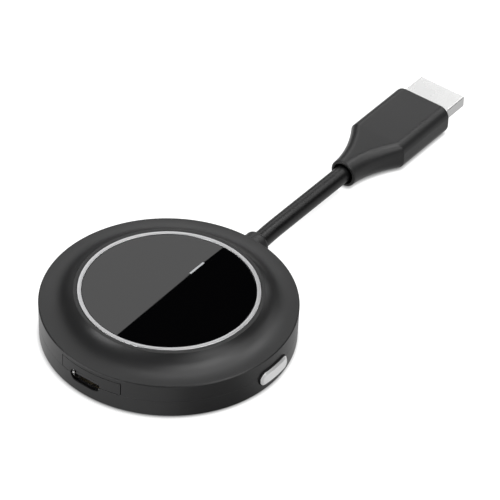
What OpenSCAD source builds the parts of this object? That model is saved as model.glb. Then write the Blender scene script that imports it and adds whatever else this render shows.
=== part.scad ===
// Wireless display adapter: a flat round puck with a glossy disc on top, a side
// button and a charging socket, and a short lead that ends in a display plug.
// The origin is on the table under the middle of the puck. The lead runs along
// +Y, the charging socket faces -Y and the button is pressed along -X.

/* [Puck shell] */
// Radius of the puck at the top of its side wall
puck_r = 32; // [31:0.5:36]
// Height of the top of the side wall
rim_z = 10; // [9.6:0.1:11]
// Height of the seam between the two covers
seam_z = 5.1; // [5:0.05:5.3]
// Width of the hairline at the seam
seam_gap = 0.08; // [0.02:0.01:0.2]
// How much smaller the radius of the side wall is at the table
foot_inset = 0.2; // [0:0.05:0.4]
// Thickness of the side wall
wall_t = 1.6; // [1.4:0.1:1.8]
// Thickness of the top cover under the disc and under the rim
roof_t = 1.4; // [1.2:0.1:1.6]
// Thickness of the bottom cover
floor_t = 1.4; // [1.2:0.1:1.5]
// Rounding of the top edge of the side wall
rim_edge = 0.3; // [0.1:0.05:0.5]
// Rounding of the foot of the side wall
foot_edge = 0.5; // [0.2:0.05:0.8]
// Height of the tongue that locates the top cover in the bottom one
tongue_h = 1.2; // [0.8:0.1:1.4]
// Thickness of that tongue
tongue_t = 0.7; // [0.5:0.05:0.8]

/* [Disc and ring] */
// Outer radius of the metal ring
ring_r = 22.5; // [21:0.25:24]
// Width of the ring
ring_w = 1.04; // [0.8:0.02:1.4]
// Height of the top of the ring
ring_z = 13.35; // [13:0.05:14]
// How far the disc lies below the ring
disc_drop = 0.1; // [0:0.05:0.3]
// Thickness of the disc
disc_t = 1.4; // [1.2:0.1:1.6]
// Gap between the disc and the ring
disc_gap = 0.06; // [0.02:0.01:0.12]
// Thickness of the tape under the disc
tape_t = 0.2; // [0.1:0.05:0.3]
// Groove between the ring and the lip of the cover
groove_w = 0.08; // [0.05:0.01:0.2]
// How far the lip lies below the ring
lip_drop = 0.08; // [0.02:0.02:0.4]
// Rounding of the lip
lip_edge = 0.08; // [0.04:0.02:0.3]
// Flat on top of the lip
lip_flat = 0.84; // [0.6:0.02:1]
// Share of the rise up to the lip that is an even hollow, the rest curls up at the lip
dish_share = 0.5; // [0.3:0.05:1]
// How suddenly the dish curls up at the lip
dish_curl = 5; // [3:0.5:8]

/* [Status light] */
// Length of the light slot in the disc
light_len = 5.4; // [4:0.2:7]
// Width of the light slot
light_w = 0.55; // [0.4:0.05:0.8]
// Sideways place of the light slot
light_x = 0.05; // [0:0.05:1]
// Distance of the light slot from the middle of the disc
light_y = 10.9; // [10.6:0.1:12]
// Thickness of the light pipe under the disc
pipe_w = 1.8; // [1.4:0.1:2.2]
// Gap round the light pipe
pipe_gap = 0.1; // [0.05:0.05:0.2]
// Gap between the light pipe and the lamp
lamp_gap = 0.3; // [0.2:0.1:0.6]

/* [Charging socket] */
// Width of the socket's metal shell
usb_w = 8.94; // [8.6:0.02:9.2]
// Height of the socket's metal shell
usb_h = 3.16; // [3.1:0.02:3.26]
// Length of the socket's metal shell
usb_len = 7.35; // [6.8:0.05:8]
// Thickness of the socket's metal shell
usb_wall = 0.3; // [0.2:0.05:0.35]
// Sideways place of the socket
port_x = -0.75; // [-1:0.05:0.6]
// How far the socket lies inside the side wall
port_setback = 0.6; // [0.4:0.1:1]
// Gap between the socket and the covers
port_gap = 0.1; // [0.05:0.05:0.2]
// Width of the socket's tongue
tongue_w = 6.7; // [6:0.1:7]
// Thickness of the socket's tongue
tongue_plate_t = 0.7; // [0.5:0.05:0.8]
// Width of one contact in the socket
usb_pin_w = 0.26; // [0.2:0.02:0.3]
// Pitch of the contacts in the socket
usb_pitch = 0.5; // [0.45:0.01:0.52]

/* [Port panel] */
// Width of the insert round the socket
panel_w = 18.1; // [14:0.1:20]
// Sideways place of the insert
panel_x = 0.6; // [-0.6:0.1:0.8]
// Height of the top of the insert
panel_z = 8.85; // [8.2:0.05:9]
// Thickness of the insert
panel_t = 1; // [0.8:0.05:1.2]
// Gap round the insert
panel_gap = 0.12; // [0.05:0.01:0.2]

/* [Side button] */
// Length of the button
button_len = 10.6; // [8:0.2:12]
// Height of the button
button_h = 3.9; // [3.4:0.1:4.2]
// Place of the button along the wall
button_y = 0.55; // [-0.6:0.05:1]
// Height of the middle of the button
button_z = 4.6; // [4.5:0.05:5.1]
// How far the button stands out of the wall
button_out = 0.95; // [0.5:0.05:1.2]
// Gap round the button
button_gap = 0.12; // [0.08:0.02:0.25]
// How far the button is pressed in
button_travel = 0.4; // [0.2:0.05:0.5]
// How far the flange inside the wall is wider than the button
flange_rim = 0.35; // [0.3:0.05:0.55]
// Thickness of that flange
flange_t = 0.8; // [0.6:0.1:1]
// Gap between the flange and the wall at rest
flange_gap = 0.15; // [0.1:0.05:0.3]
// Length of the switch body across the board
switch_l = 3.2; // [2.8:0.1:3.6]
// Width of the switch body
switch_w = 4.6; // [4:0.1:5]
// Height of the switch body
switch_h = 2.6; // [2.4:0.1:2.8]
// Radius of the switch plunger
plunger_r = 0.6; // [0.5:0.05:0.7]
// How far the plunger stands out of the switch
plunger_out = 0.8; // [0.6:0.1:1]
// Running gap round the plunger
plunger_gap = 0.08; // [0.05:0.01:0.1]
// Gap between the button and the plunger
press_gap = 0.05; // [0.02:0.01:0.1]

/* [Board] */
// Gap between the circuit board and the wall
board_rim_gap = 1.4; // [1:0.1:1.8]
// Thickness of the circuit board
board_t = 0.8; // [0.6:0.1:1]
// Gap between the board and the bosses that pass it
board_gap = 0.4; // [0.2:0.05:0.5]
// Distance from the edge of the board to the rib that carries it
rib_inset = 6; // [5.5:0.1:8]
// Width of that rib
rib_w = 1; // [0.8:0.1:1.5]
// Width and depth of the video processor
soc_w = 13; // [11:0.5:15]
// Thickness of the video processor
soc_t = 1.2; // [0.9:0.1:1.4]
// Width and depth of the radio module
radio_w = 12; // [10:0.5:13]
// Height of the radio module
radio_t = 1.9; // [1.6:0.1:2.2]
// Distance from the radio module to the edge of the board
radio_inset = 2; // [1.8:0.1:3]
// Width of the memory chip
memory_w = 8; // [7:0.5:9]
// Depth of the memory chip
memory_d = 11; // [10:0.5:12]
// Thickness of the memory and flash chips
chip_t = 1; // [0.8:0.1:1.2]
// Distance of the memory chip from the middle
memory_x = 13; // [12.5:0.25:14]
// Width of the flash chip
flash_w = 6; // [5:0.25:6.5]
// Depth of the flash chip
flash_d = 5; // [4:0.25:5.5]
// Distance of the power parts and the flash chip from the middle
power_y = 14; // [13.5:0.25:15]
// Width of a power coil
coil_w = 4; // [3:0.25:4.25]
// Height of a power coil
coil_t = 2; // [1.5:0.1:2.4]
// Length of a capacitor
cap_l = 1.6; // [1:0.1:1.8]
// Width and height of a capacitor
cap_w = 0.8; // [0.5:0.1:0.9]
// Pitch of the capacitors in a row
cap_pitch = 2.2; // [2:0.1:2.4]
// Length of the clock crystal
crystal_l = 3.2; // [2.5:0.1:3.5]
// Width of the clock crystal
crystal_w = 2.5; // [2:0.1:2.8]
// Length of the status lamp
lamp_l = 3.2; // [2:0.1:4]
// Width and height of the status lamp
lamp_w = 0.8; // [0.6:0.05:1]

/* [Cooling and radio] */
// Radius of the metal heat spreader under the roof
spreader_r = 19; // [17:0.5:20]
// Thickness of the heat spreader
spreader_t = 1.1; // [0.8:0.1:1.3]
// Width of the foot of the heat spreader over the processor
foot_w = 12; // [10:0.5:12.5]
// Thickness of the soft thermal pad
thermal_t = 1; // [0.6:0.1:1.4]
// Thickness of a foil antenna
antenna_t = 0.2; // [0.1:0.05:0.3]
// Height of a foil antenna
antenna_h = 2.2; // [1.6:0.1:2.4]
// Length of a foil antenna
antenna_len = 12; // [8:0.5:14]
// Gap between an antenna and the wall
antenna_gap = 0.05; // [0.02:0.01:0.1]
// Radius of an antenna lead
lead_r = 0.4; // [0.3:0.05:0.5]

/* [Lead] */
// Diameter of the cable
cable_d = 4.7; // [4.2:0.1:4.8]
// Height of the middle of the lead where it leaves the puck
lead_z = 5.25; // [5:0.05:5.4]
// Radius of the rubber boss where the cable leaves the puck
boss_r = 3.5; // [3.3:0.05:3.6]
// How far the boss stands out of the wall
boss_out = 4.3; // [4:0.1:6]
// Rounding of the boss
boss_edge = 0.6; // [0.4:0.1:1.2]
// Gap between the boss and the covers
boss_gap = 0.05; // [0.02:0.01:0.1]
// Width of the flange inside the wall
grommet_w = 10; // [9:0.2:10.4]
// Height of the flange inside the wall
grommet_h = 5.6; // [5:0.1:5.7]
// Thickness of the flange
grommet_t = 1.4; // [1:0.1:1.6]
// Gap round the cable where it is held
cable_fit = 0.03; // [0.01:0.01:0.05]
// Length of the cable inside the puck, from the flange
tail_len = 3.5; // [3.4:0.1:4.6]
// Width of the cable clamp
clamp_w = 8; // [7:0.2:9]
// Depth of the cable clamp
clamp_d = 2.2; // [1.6:0.1:2.6]
// Thickness of the clamp over the cable
clamp_t = 0.7; // [0.5:0.05:0.9]
// Width of the header that takes the wires
header_w = 11; // [9:0.5:12]
// Depth of the header
header_d = 3; // [2.8:0.1:3.6]
// Height of the header
header_h = 2.6; // [2.2:0.1:2.8]
// Distance from the end of the cable to the header
wire_len = 2.6; // [2.4:0.1:3.2]
// Radius of one wire
wire_r = 0.18; // [0.12:0.02:0.2]
// Number of wires in one row
wire_count = 9; // [5:1:9]

/* [Plug grip] */
// Width of the plug's grip
plug_w = 17; // [16:0.1:20]
// Thickness of the plug's grip
plug_t = 8.1; // [7.6:0.1:9]
// Rounding of the grip's long edges
plug_corner = 2.9; // [1.5:0.1:3.2]
// Length of the straight block of the grip
block_len = 20.4; // [18:0.1:24]
// Length of the waist between the block and the neck
waist_len = 15.2; // [12:0.2:18]
// How sharply the waist curves in
waist_curve = 1.95; // [1.1:0.05:2.2]
// Radius of the neck
neck_r = 3.75; // [3.5:0.05:3.9]
// Radius of the hole in the neck
neck_hole_r = 3; // [2.7:0.05:3.1]
// Depth of the hole in the neck
neck_hole_t = 4; // [4:0.5:5]
// Rounding of the neck's end
neck_edge = 0.4; // [0.2:0.05:0.6]
// Rounding of the grip's front edges
front_edge = 0.8; // [0.4:0.1:1.2]

/* [Plug mouth] */
// Width of the plug's metal shell
mouth_w = 13.9; // [13.5:0.05:14.1]
// Height of the plug's metal shell
mouth_h = 4.45; // [4.3:0.05:4.55]
// Height of its upright sides
mouth_side = 3; // [2.4:0.05:3.2]
// Width of its narrow underside
mouth_foot_w = 11; // [10:0.1:12]
// Thickness of its sheet metal
mouth_wall = 0.35; // [0.25:0.05:0.45]
// How far the metal shell stands out of the grip
mouth_out = 8.7; // [8:0.1:12]
// How far the metal shell reaches into the grip
mouth_in = 6; // [5:0.5:8]
// Thickness of the insulator above and below the slot
lining_t = 0.75; // [0.6:0.05:0.85]
// How far the insulator lies inside the mouth
lining_setback = 0.6; // [0.4:0.1:1]
// Width of one contact in the plug
pin_w = 0.4; // [0.3:0.05:0.45]
// Pitch of the contacts in the plug
pin_pitch = 1; // [0.95:0.01:1.05]
// Thickness of the contacts
pin_t = 0.12; // [0.08:0.01:0.15]
// Fit between the grip and what it is moulded round
mould_gap = 0.05; // [0.02:0.01:0.1]
// Length of the small circuit board in the grip
card_l = 9; // [8:0.5:10]
// Width of that board
card_w = 12; // [11:0.5:12.5]
// Thickness of that board
card_t = 0.8; // [0.6:0.1:1]
// Length of the crimp on the cable
crimp_len = 5; // [4:0.5:6]
// Wall of the crimp
crimp_wall = 0.5; // [0.3:0.05:0.6]

/* [Screws and pad] */
// Distance from the cover screws to the wall
screw_inset = 4.8; // [4.4:0.1:5]
// Radius of a cover screw
screw_r = 1; // [0.8:0.05:1.1]
// Radius of a screw head
head_r = 1.9; // [1.6:0.1:2]
// Height of a screw head
head_t = 0.8; // [0.6:0.05:0.9]
// Length of a cover screw under its head
screw_len = 5; // [4:0.5:5.5]
// Gap round the screws
screw_gap = 0.05; // [0.02:0.01:0.1]
// Radius of the screw bosses
post_r = 2.3; // [2:0.1:2.4]
// Gap between a screw boss and the bottom cover
post_gap = 0.15; // [0.1:0.05:0.3]
// Width of the cover's foot round the rubber pad
pad_inset = 2.8; // [2.4:0.1:3.6]
// Thickness of the rubber pad
pad_t = 0.8; // [0.7:0.05:1]
// How far the pad lifts the covers off the table
pad_out = 0.3; // [0.2:0.05:0.5]
// Gap round the pad
pad_gap = 0.2; // [0.1:0.05:0.4]

/* [Hidden] */

// Overrun of every cut past the face it opens
over = 0.5;
// Facets of the large round parts and of the small ones
$fn = 96;
small_fn = 32;

// Colours
cover_black = [0.24, 0.24, 0.24];
grip_black = [0.27, 0.27, 0.27];
jacket_black = [0.16, 0.16, 0.16];
disc_black = [0.02, 0.02, 0.02];
silver = [0.8, 0.8, 0.8];
bright_metal = [0.88, 0.88, 0.87];
board_green = [0.05, 0.3, 0.14];
chip_black = [0.1, 0.1, 0.11];
gold = [0.85, 0.66, 0.25];

// Heights and radii of the puck
cable_r = cable_d / 2;
lip_z = ring_z - lip_drop;
recess_r = ring_r + groove_w;
recess_z = ring_z - disc_drop - disc_t - tape_t;
lip_r = recess_r + lip_edge + lip_flat;
roof_z = recess_z - roof_t;
ceiling_z = rim_z - roof_t;
inner_r = puck_r - wall_t;
pad_seat_z = pad_t;
floor_z = pad_seat_z + floor_t;
foot_z = pad_out;
board_z = seam_z - usb_h / 2;
board_floor_z = board_z - board_t;
board_r = inner_r - board_rim_gap;
rib_r = board_r - rib_inset - rib_w;
radio_x = board_r - radio_inset - radio_w / 2;
screw_ring_r = inner_r - screw_inset;
pad_r = puck_r - pad_inset;
dish_run = puck_r - rim_edge - lip_r;
dish_rise = lip_z - rim_z;
dish_steps = 20;

// Sockets and openings in the wall
port_w = usb_w + 2 * port_gap;
port_h = usb_h + 2 * port_gap;
usb_front_y = -wall_r(seam_z) + port_setback;
usb_back_y = usb_front_y + usb_len;

// Button and switch, from the wall inwards
flange_len = button_len + 2 * flange_rim;
flange_h = button_h + 2 * flange_rim;
flange_reach = abs(button_y) + flange_len / 2;
flange_x = sqrt(inner_r * inner_r - flange_reach * flange_reach) - flange_gap;
plunger_x = flange_x - flange_t - press_gap;
switch_x = plunger_x - plunger_out;
plunger_z = board_z + switch_h / 2;
notch_x = flange_x - flange_t - button_travel - board_gap;

// Lead inside the puck
grommet_y = sqrt(inner_r * inner_r - grommet_w * grommet_w / 4) - flange_gap;
tail_y = grommet_y - grommet_t - tail_len;
clamp_y = grommet_y - grommet_t - tail_len / 2;
clamp_top_z = lead_z + cable_r + clamp_t;
header_y = tail_y - wire_len;
boss_end_y = puck_r + boss_out;

// Route of the free cable from the boss to the bottom of the hole in the neck
cord = [[0, 36.3, 5.25], [-0.1, 39, 5.25], [-0.21, 42, 5.22], [-0.29, 45, 5.13],
    [-0.36, 48, 5.02], [-0.44, 51, 4.89], [-0.52, 54, 4.75], [-0.6, 57, 4.61],
    [-0.68, 60, 4.48], [-0.75, 63, 4.36], [-0.8, 66, 4.26], [-0.85, 69, 4.18],
    [-0.88, 72, 4.12], [-0.9, 75, 4.08], [-0.9, 77.2, 4.05]];
cord_step = 2;
cord_sides = 12;

// Plug, from the end of the cord forwards
plug_x = cord[len(cord) - 1][0];
plug_z = plug_t / 2;
cord_end_y = cord[len(cord) - 1][1];
neck_y = cord_end_y - neck_hole_t;
shoulder_y = neck_y + waist_len;
front_y = shoulder_y + block_len;
tip_y = front_y + mouth_out;
mouth_back_y = front_y - mouth_in;
card_back_y = mouth_back_y - card_l;
waist_steps = 10;
round_steps = 3;
corner_steps = 5;

// Radius of the side wall at a height
function wall_r(z) = puck_r - foot_inset * (1 - z / rim_z);

// Points of an arc in the plane of a profile
function arc(c, r, a0, a1, n) =
    [for (i = [0:n]) c + r * [cos(a0 + (a1 - a0) * i / n), sin(a0 + (a1 - a0) * i / n)]];

// Slot outline with half-round ends
module slot_2d(w, h) {
    square([w - h, h], center = true);
    for (s = [-1, 1]) translate([s * (w - h) / 2, 0]) circle(d = h, $fn = small_fn);
}

// Runs a flat outline along Y, with the outline's own Y pointing up
module along_y(y0, y1, x, z) {
    translate([x, y1, z]) rotate([90, 0, 0]) linear_extrude(y1 - y0) children();
}

// Runs a flat outline along X, with the outline's own X along Y
module along_x(x0, x1, y, z) {
    translate([x0, y, z]) rotate([90, 0, 90]) linear_extrude(x1 - x0) children();
}

// Box that stands on a height, centred on a place
module block(size, at) {
    translate([at[0] - size[0] / 2, at[1] - size[1] / 2, at[2]]) cube(size);
}

// Box that runs between two values of Y, centred on a place across
module bar_y(w, h, y0, y1, x, z) {
    translate([x - w / 2, y0, z - h / 2]) cube([w, y1 - y0, h]);
}

// Round rod between two points
module rod(a, b, r) {
    v = b - a;
    translate(a) rotate([0, acos(v[2] / norm(v)), atan2(v[1], v[0])])
        cylinder(h = norm(v), r = r, $fn = small_fn);
}

module at_screws() {
    for (a = [45:90:315]) rotate(a) translate([screw_ring_r, 0, 0]) children();
}

// Openings that both covers share
module wall_openings() {
    along_y(-puck_r - over, -puck_r + 3 * wall_t, port_x, seam_z) slot_2d(port_w, port_h);
    along_x(inner_r - 2 * wall_t, puck_r + over, button_y, button_z)
        slot_2d(button_len + 2 * button_gap, button_h + 2 * button_gap);
    along_y(grommet_y, puck_r + over, 0, lead_z) circle(boss_r + boss_gap);
}

// Upper shell: dished shoulder, recess for the disc, tongue and screw bosses
module top_cover() {
    dish = [for (i = [1:dish_steps]) let (t = i / dish_steps)
        [puck_r - rim_edge - dish_run * t,
        rim_z + dish_rise * (dish_share * t * t + (1 - dish_share) * pow(t, dish_curl))]];
    outer = concat([[wall_r(seam_z + seam_gap), seam_z + seam_gap], [puck_r, rim_z - rim_edge]],
        arc([puck_r - rim_edge, rim_z - rim_edge], rim_edge, 0, 90, 4),
        dish,
        arc([recess_r + lip_edge, lip_z - lip_edge], lip_edge, 90, 180, 4));
    inner = [[recess_r, recess_z], [0, recess_z], [0, roof_z], [recess_r, roof_z],
        [inner_r - 2 * roof_t, ceiling_z], [inner_r, ceiling_z], [inner_r, seam_z - tongue_h],
        [inner_r + tongue_t, seam_z - tongue_h], [inner_r + tongue_t, seam_z + seam_gap]];
    color(cover_black) difference() {
        union() {
            rotate_extrude() polygon(concat(outer, inner));
            at_screws() translate([0, 0, floor_z + post_gap])
                cylinder(h = ceiling_z + over - floor_z - post_gap, r = post_r, $fn = small_fn);
        }
        at_screws() translate([0, 0, floor_z])
            cylinder(h = screw_len, r = screw_r + screw_gap, $fn = small_fn);
        wall_openings();
        panel_shape(panel_w, panel_z, puck_r - panel_t, puck_r + over, seam_z - tongue_h);
        block([pipe_w + 2 * pipe_gap, light_len + 2 * pipe_gap, roof_t + 2 * over],
            pipe_place(roof_z - over));
    }
}

// Ring sector of the side wall between two heights, cut to a width
module panel_shape(w, top, r0, r1, bottom) {
    intersection() {
        rotate_extrude() polygon([[r0, bottom], [r1 - puck_r + wall_r(bottom), bottom],
            [r1 - puck_r + wall_r(top), top], [r0, top]]);
        translate([panel_x - w / 2, -puck_r - over, bottom]) cube([w, puck_r, top - bottom]);
    }
}

function pipe_place(z) = [light_x, light_y, z];

// Lower tray: side wall, rib for the board, recess for the pad
module bottom_cover() {
    rim_in = inner_r + tongue_t + seam_gap;
    profile = concat([[0, pad_seat_z], [pad_r + pad_gap, pad_seat_z], [pad_r + pad_gap, foot_z]],
        arc([wall_r(foot_z) - foot_edge, foot_z + foot_edge], foot_edge, -90, 0, 4),
        [[wall_r(seam_z), seam_z], [rim_in, seam_z], [rim_in, seam_z - tongue_h - seam_gap],
        [inner_r, seam_z - tongue_h - seam_gap], [inner_r, floor_z], [rib_r + rib_w, floor_z],
        [rib_r + rib_w, board_floor_z], [rib_r, board_floor_z], [rib_r, floor_z], [0, floor_z]]);
    color(cover_black) difference() {
        rotate_extrude() polygon(profile);
        at_screws() translate([0, 0, pad_seat_z - over])
            cylinder(h = floor_t + 2 * over, r = screw_r + screw_gap, $fn = small_fn);
        at_screws() translate([0, 0, pad_seat_z - over])
            cylinder(h = head_t + over, r = head_r + screw_gap, $fn = small_fn);
        wall_openings();
        translate([-clamp_w / 2 - board_gap, 0, floor_z])
            cube([clamp_w + 2 * board_gap, inner_r - wall_t, board_floor_z - floor_z + over]);
    }
}

// Insert in the wall above the socket
module port_panel() {
    color(cover_black) difference() {
        panel_shape(panel_w - 2 * panel_gap, panel_z - panel_gap, puck_r - panel_t + panel_gap,
            puck_r, seam_z + seam_gap);
        along_y(-puck_r - over, -puck_r + 3 * wall_t, port_x, seam_z) slot_2d(port_w, port_h);
    }
}

// Bright ring round the disc, with a softened top
module trim_ring() {
    edge = ring_w / 5;
    color(silver) rotate_extrude() polygon([[ring_r - ring_w, recess_z], [ring_r, recess_z],
        [ring_r, ring_z - edge], [ring_r - edge, ring_z], [ring_r - ring_w + edge, ring_z],
        [ring_r - ring_w, ring_z - edge]]);
}

// Outline of the light slot in the disc
module light_2d(gap) {
    square([light_w + 2 * gap, light_len + 2 * gap], center = true);
}

module display_disc() {
    color(disc_black) difference() {
        translate([0, 0, recess_z + tape_t]) cylinder(h = disc_t, r = ring_r - ring_w - disc_gap);
        translate(pipe_place(recess_z)) linear_extrude(disc_t + tape_t + over)
            light_2d(pipe_gap / 4);
    }
}

module disc_tape() {
    color("whitesmoke") difference() {
        translate([0, 0, recess_z]) cylinder(h = tape_t, r = ring_r - 2 * ring_w);
        block([pipe_w + 2 * pipe_gap, light_len + 4 * pipe_gap, tape_t + 2 * over],
            pipe_place(recess_z - over));
    }
}

// Clear bar that carries light from the lamp up through the disc
module light_pipe() {
    top = ring_z - disc_drop;
    color([0.85, 0.85, 0.85]) {
        translate(pipe_place(recess_z)) linear_extrude(top - recess_z) light_2d(0);
        block([pipe_w, light_len, recess_z - board_z - lamp_w - lamp_gap],
            pipe_place(board_z + lamp_w + lamp_gap));
    }
}

module status_led() {
    color("white") block([lamp_w, lamp_l, lamp_w], pipe_place(board_z));
}

// Button cap with its flange inside the wall
module side_button() {
    color(silver) {
        intersection() {
            along_x(flange_x - over, puck_r + 2 * button_out, button_y, button_z)
                slot_2d(button_len, button_h);
            cylinder(h = rim_z, r = wall_r(button_z) + button_out);
        }
        translate([flange_x - flange_t, button_y - flange_len / 2, button_z - flange_h / 2])
            cube([flange_t, flange_len, flange_h]);
    }
}

module button_switch() {
    color(chip_black) difference() {
        translate([switch_x - switch_l, button_y - switch_w / 2, board_z])
            cube([switch_l, switch_w, switch_h]);
        along_x(switch_x - plunger_back() - button_travel - plunger_gap, switch_x + over, button_y,
            plunger_z) circle(plunger_r + plunger_gap, $fn = small_fn);
    }
}

function plunger_back() = switch_l / 2;

module switch_plunger() {
    color(silver) along_x(switch_x - plunger_back(), plunger_x, button_y, plunger_z)
        circle(plunger_r, $fn = small_fn);
}

// Round board, cut back at the screw bosses, the button and the cable
module main_board() {
    color(board_green) difference() {
        translate([0, 0, board_floor_z]) cylinder(h = board_t, r = board_r);
        at_screws() translate([0, 0, board_floor_z - over])
            cylinder(h = board_t + 2 * over, r = post_r + board_gap, $fn = small_fn);
        translate([notch_x, button_y - flange_len / 2 - board_gap, board_floor_z - over])
            cube([board_r, flange_len + 2 * board_gap, board_t + 2 * over]);
        translate([-grommet_w / 2 - board_gap, tail_y - board_gap, board_floor_z - over])
            cube([grommet_w + 2 * board_gap, board_r, board_t + 2 * over]);
    }
}

// Metal shell of the charging socket, open at the front
module usb_shell() {
    color(bright_metal) difference() {
        along_y(usb_front_y, usb_back_y, port_x, seam_z) slot_2d(usb_w, usb_h);
        along_y(usb_front_y - over, usb_back_y - usb_wall, port_x, seam_z)
            slot_2d(usb_w - 2 * usb_wall, usb_h - 2 * usb_wall);
    }
}

module usb_tongue() {
    root_w = tongue_w - usb_wall;
    root_h = usb_h - 3 * usb_wall;
    color(chip_black) {
        bar_y(tongue_w, tongue_plate_t, usb_front_y + port_setback, usb_back_y - 2 * usb_wall,
            port_x, seam_z);
        bar_y(root_w, root_h, usb_back_y - usb_len / 4, usb_back_y - usb_wall - port_gap, port_x,
            seam_z);
    }
}

module usb_contacts() {
    front = usb_front_y + 2 * port_setback;
    back = usb_back_y - usb_len / 4;
    z = tongue_plate_t / 2 + pin_t / 2;
    color(gold) for (i = [0:11]) for (s = [-1, 1])
        bar_y(usb_pin_w, pin_t, front, back, port_x + (i - 5.5) * usb_pitch, seam_z + s * z);
}

module video_processor() {
    color(chip_black) block([soc_w, soc_w, soc_t], [0, 0, board_z]);
}

module memory_chip() {
    color(chip_black) block([memory_w, memory_d, chip_t], [memory_x, 0, board_z]);
}

module flash_chip() {
    color(chip_black) block([flash_w, flash_d, chip_t], [-flash_w, -power_y, board_z]);
}

// Radio module: small board with a metal can and two aerial sockets
module wifi_module() {
    base = radio_t / 4;
    can = radio_w - 2 * base;
    color(bright_metal) {
        block([radio_w, radio_w, base], [-radio_x, 0, board_z]);
        block([can, can, radio_t - base], [-radio_x, 0, board_z + base]);
        for (s = [-1, 1]) translate([-radio_x, s * radio_w / 4, board_z + radio_t])
            cylinder(h = base, r = 2 * lead_r, $fn = small_fn);
    }
}

// Angle that an antenna takes up on the wall
antenna_r = inner_r - antenna_gap;
antenna_turn = antenna_len / antenna_r * 180 / PI;
antenna_z = seam_z + 2 * seam_gap;
antenna_angles = [150, 210];

module antennas() {
    color(gold) for (a = antenna_angles) rotate(a - antenna_turn / 2)
        translate([0, 0, antenna_z]) rotate_extrude(angle = antenna_turn)
            translate([antenna_r - antenna_t, 0]) square([antenna_t, antenna_h]);
}

module antenna_leads() {
    z = board_z + radio_t + radio_t / 4 + lead_r;
    r = antenna_r - antenna_t;
    color("dimgray") for (s = [-1, 1]) {
        a = [-radio_x, s * radio_w / 4, z];
        b = [r * cos(antenna_angles[0]), s * r * sin(antenna_angles[0]), z];
        rod(a, b - lead_r * (b - a) / norm(b - a), lead_r);
    }
}

module crystal() {
    color(bright_metal) block([crystal_l, crystal_w, chip_t], [0, -soc_w / 2 - crystal_w - cap_w, board_z]);
}

// Coils of the power supply beside the socket
coil_place_shares = [0, 1.2, 2.4];
module inductors() {
    color("dimgray") for (i = [0:2])
        block([coil_w, coil_w, coil_t], [coil_w * coil_place_shares[i], -power_y, board_z]);
}

// Rows of small capacitors round the processor
module capacitors() {
    row = soc_w / 2 + cap_w;
    side = (soc_w / 2 + radio_x - radio_w / 2) / 2;
    color("tan") for (i = [-2:2]) {
        for (s = [-1, 1]) block([cap_l, cap_w, cap_w], [i * cap_pitch, s * row, board_z]);
        block([cap_w, cap_l, cap_w], [-side, i * cap_pitch, board_z]);
    }
}

module thermal_pad() {
    color("lightblue") block([foot_w, foot_w, thermal_t], [0, 0, board_z + soc_t]);
}

// Metal plate under the roof with a foot down to the processor
module heat_spreader() {
    plate_z = roof_z - spreader_t;
    foot_low = board_z + soc_t + thermal_t;
    color("silver") difference() {
        union() {
            translate([0, 0, plate_z]) cylinder(h = spreader_t, r = spreader_r);
            block([foot_w, foot_w, plate_z - foot_low + spreader_t / 2], [0, 0, foot_low]);
        }
        block([pipe_w + 2 * wall_t, light_len + wall_t, spreader_t + 2 * over],
            pipe_place(plate_z - over));
    }
}

module cable_header() {
    color("whitesmoke") translate([-header_w / 2, header_y - header_d, board_z])
        cube([header_w, header_d, header_h]);
}

// Wires that fan out from the cable to the header
module cable_wires() {
    mid = (wire_count - 1) / 2;
    color("firebrick") for (i = [0:wire_count - 1]) {
        from = [(i - mid) * cable_d / (wire_count + 1), tail_y - wire_r, lead_z];
        to = [(i - mid) * header_w / (wire_count + 1), header_y + wire_r, board_z + header_h / 2];
        rod(from, to, wire_r);
    }
}

// Cable from the boss inwards to where its jacket ends
module cable_tail() {
    color(jacket_black) along_y(tail_y, boss_end_y, 0, lead_z) circle(cable_r, $fn = small_fn);
}

// Bridge on the bottom cover that grips the cable
module cable_clamp() {
    color(chip_black) difference() {
        block([clamp_w, clamp_d, clamp_top_z - floor_z], [0, clamp_y, floor_z]);
        along_y(clamp_y - clamp_d, clamp_y + clamp_d, 0, lead_z)
            circle(cable_r + cable_fit, $fn = small_fn);
    }
}

// Rubber boss with a flange that the covers trap
module cable_grommet() {
    end = boss_end_y - grommet_y;
    profile = concat([[cable_r + cable_fit, 0], [boss_r, 0]],
        arc([boss_r - boss_edge, end - boss_edge], boss_edge, 0, 90, 5),
        [[cable_r + cable_fit, end]]);
    color(cover_black) {
        translate([0, grommet_y, lead_z]) rotate([-90, 0, 0]) rotate_extrude($fn = small_fn)
            polygon(profile);
        difference() {
            bar_y(grommet_w, grommet_h, grommet_y - grommet_t, grommet_y, 0, lead_z);
            along_y(grommet_y - 2 * grommet_t, grommet_y + over, 0, lead_z)
                circle(cable_r + cable_fit, $fn = small_fn);
        }
    }
}

// Swept solid through rings of points, closed by a fan at each end
module swept(rings) {
    n = len(rings[0]);
    last = len(rings) - 1;
    polyhedron(points = [for (ring = rings) for (p = ring) p], faces = concat(
        [for (k = [0:last - 1]) for (i = [0:n - 1])
            [k * n + i, k * n + (i + 1) % n, (k + 1) * n + i]],
        [for (k = [0:last - 1]) for (i = [0:n - 1])
            [k * n + (i + 1) % n, (k + 1) * n + (i + 1) % n, (k + 1) * n + i]],
        [for (i = [1:n - 2]) [0, i + 1, i]],
        [for (i = [1:n - 2]) [last * n, last * n + i, last * n + i + 1]]));
}

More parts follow.
